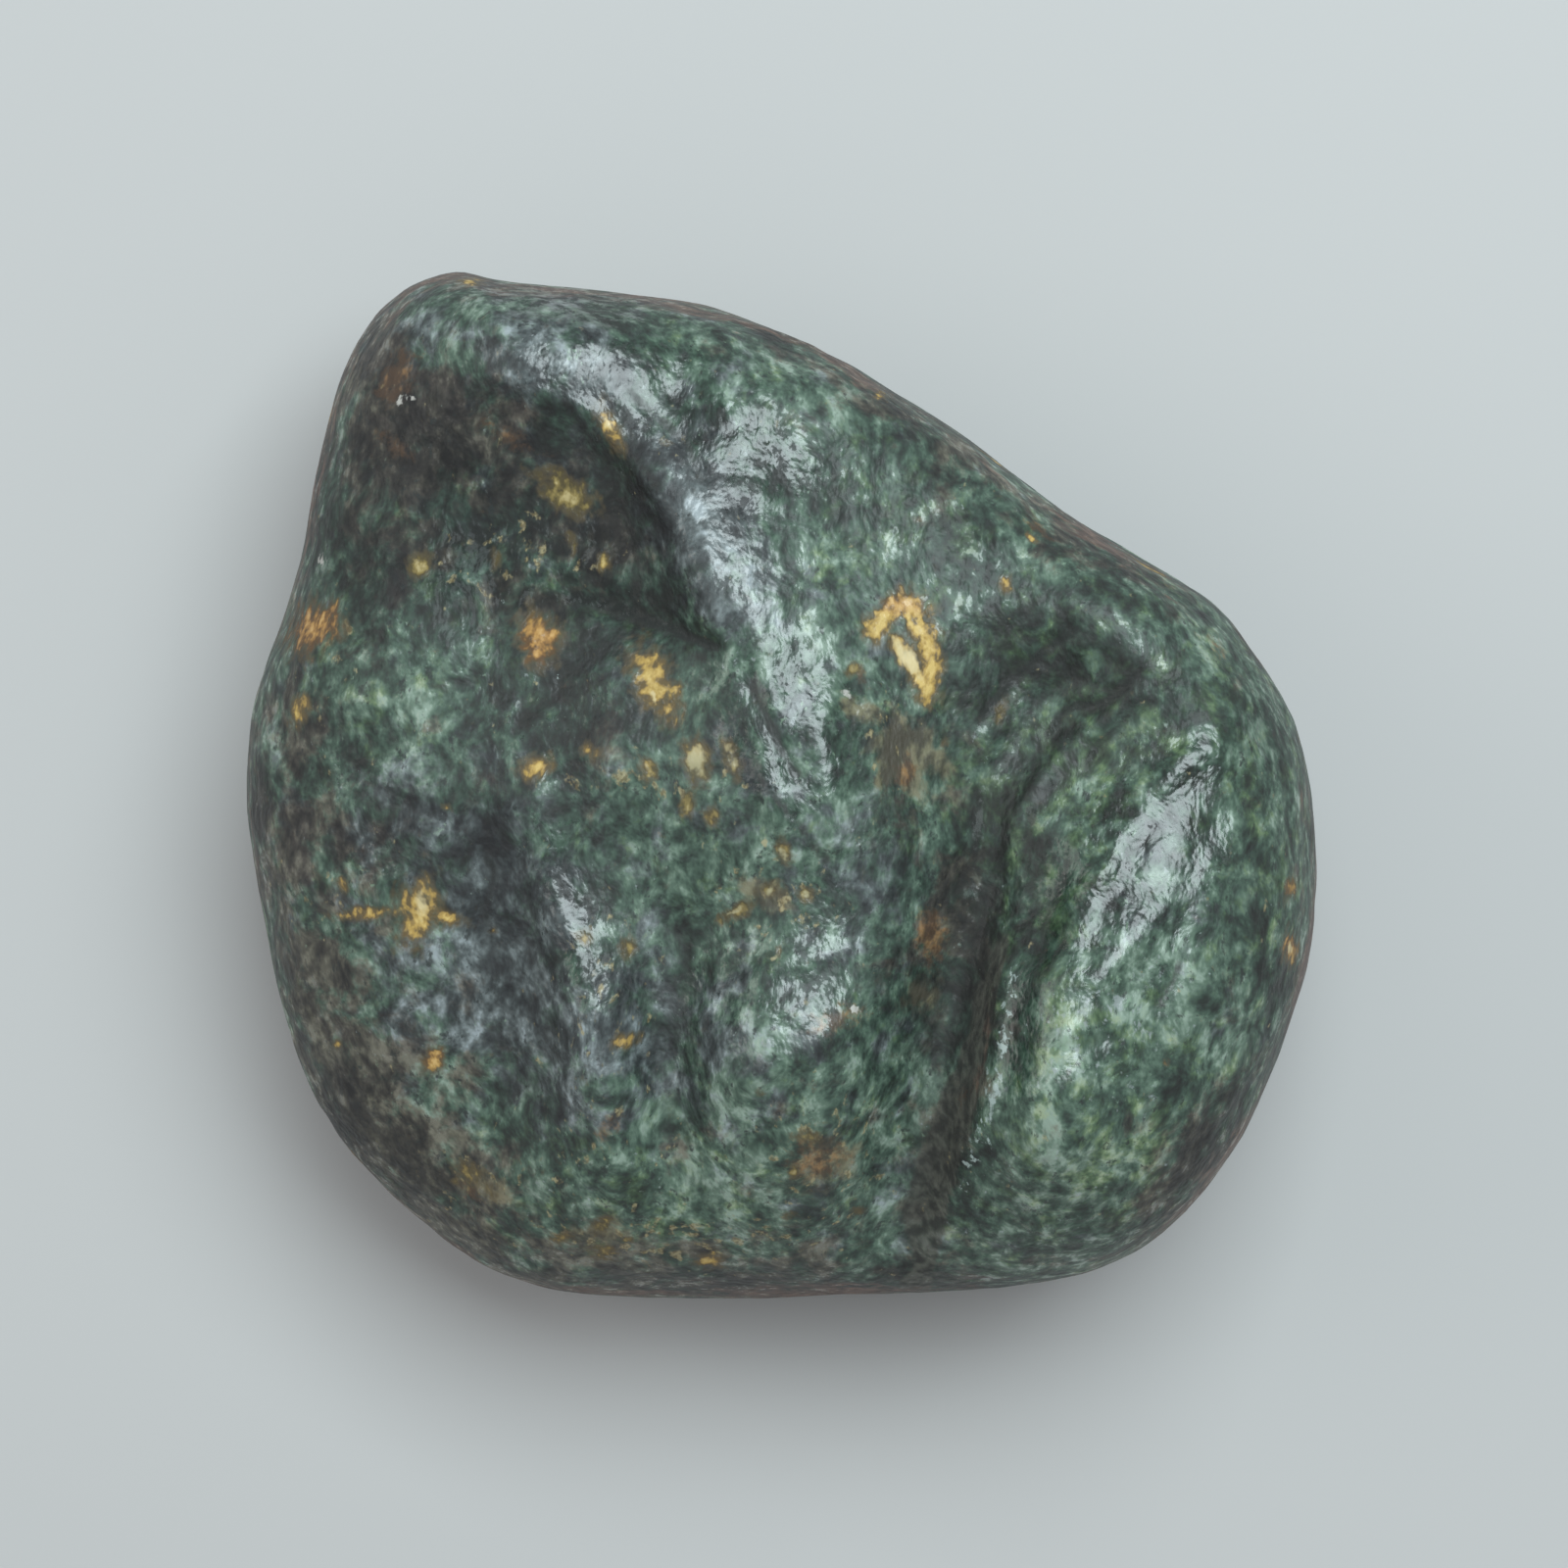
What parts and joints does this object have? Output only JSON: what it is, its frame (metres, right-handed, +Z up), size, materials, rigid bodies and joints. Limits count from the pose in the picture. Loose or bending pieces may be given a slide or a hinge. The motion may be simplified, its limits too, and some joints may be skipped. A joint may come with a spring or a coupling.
{
  "type": "raw jade boulder",
  "caption": "Water-worn raw jade boulder with a ridged, grooved upper face and a wet dark green skin with ochre spots, resting on a flat worn patch.",
  "frame": {"origin": "centre of the bounding box in plan, at the level of the flat resting patch", "axes": "+Z up, away from the surface that the stone rests on; +X along the stone's longest side; +Y towards the pointed knob"},
  "size_m": [0.15, 0.1452, 0.0797],
  "materials": {
    "jade_skin": "wet, semi-gloss, mottled dark green skin with ochre and brown iron stains"
  },
  "bodies": {
    "root": {"jade_boulder": "jade_skin"}
  },
  "joints": []
}
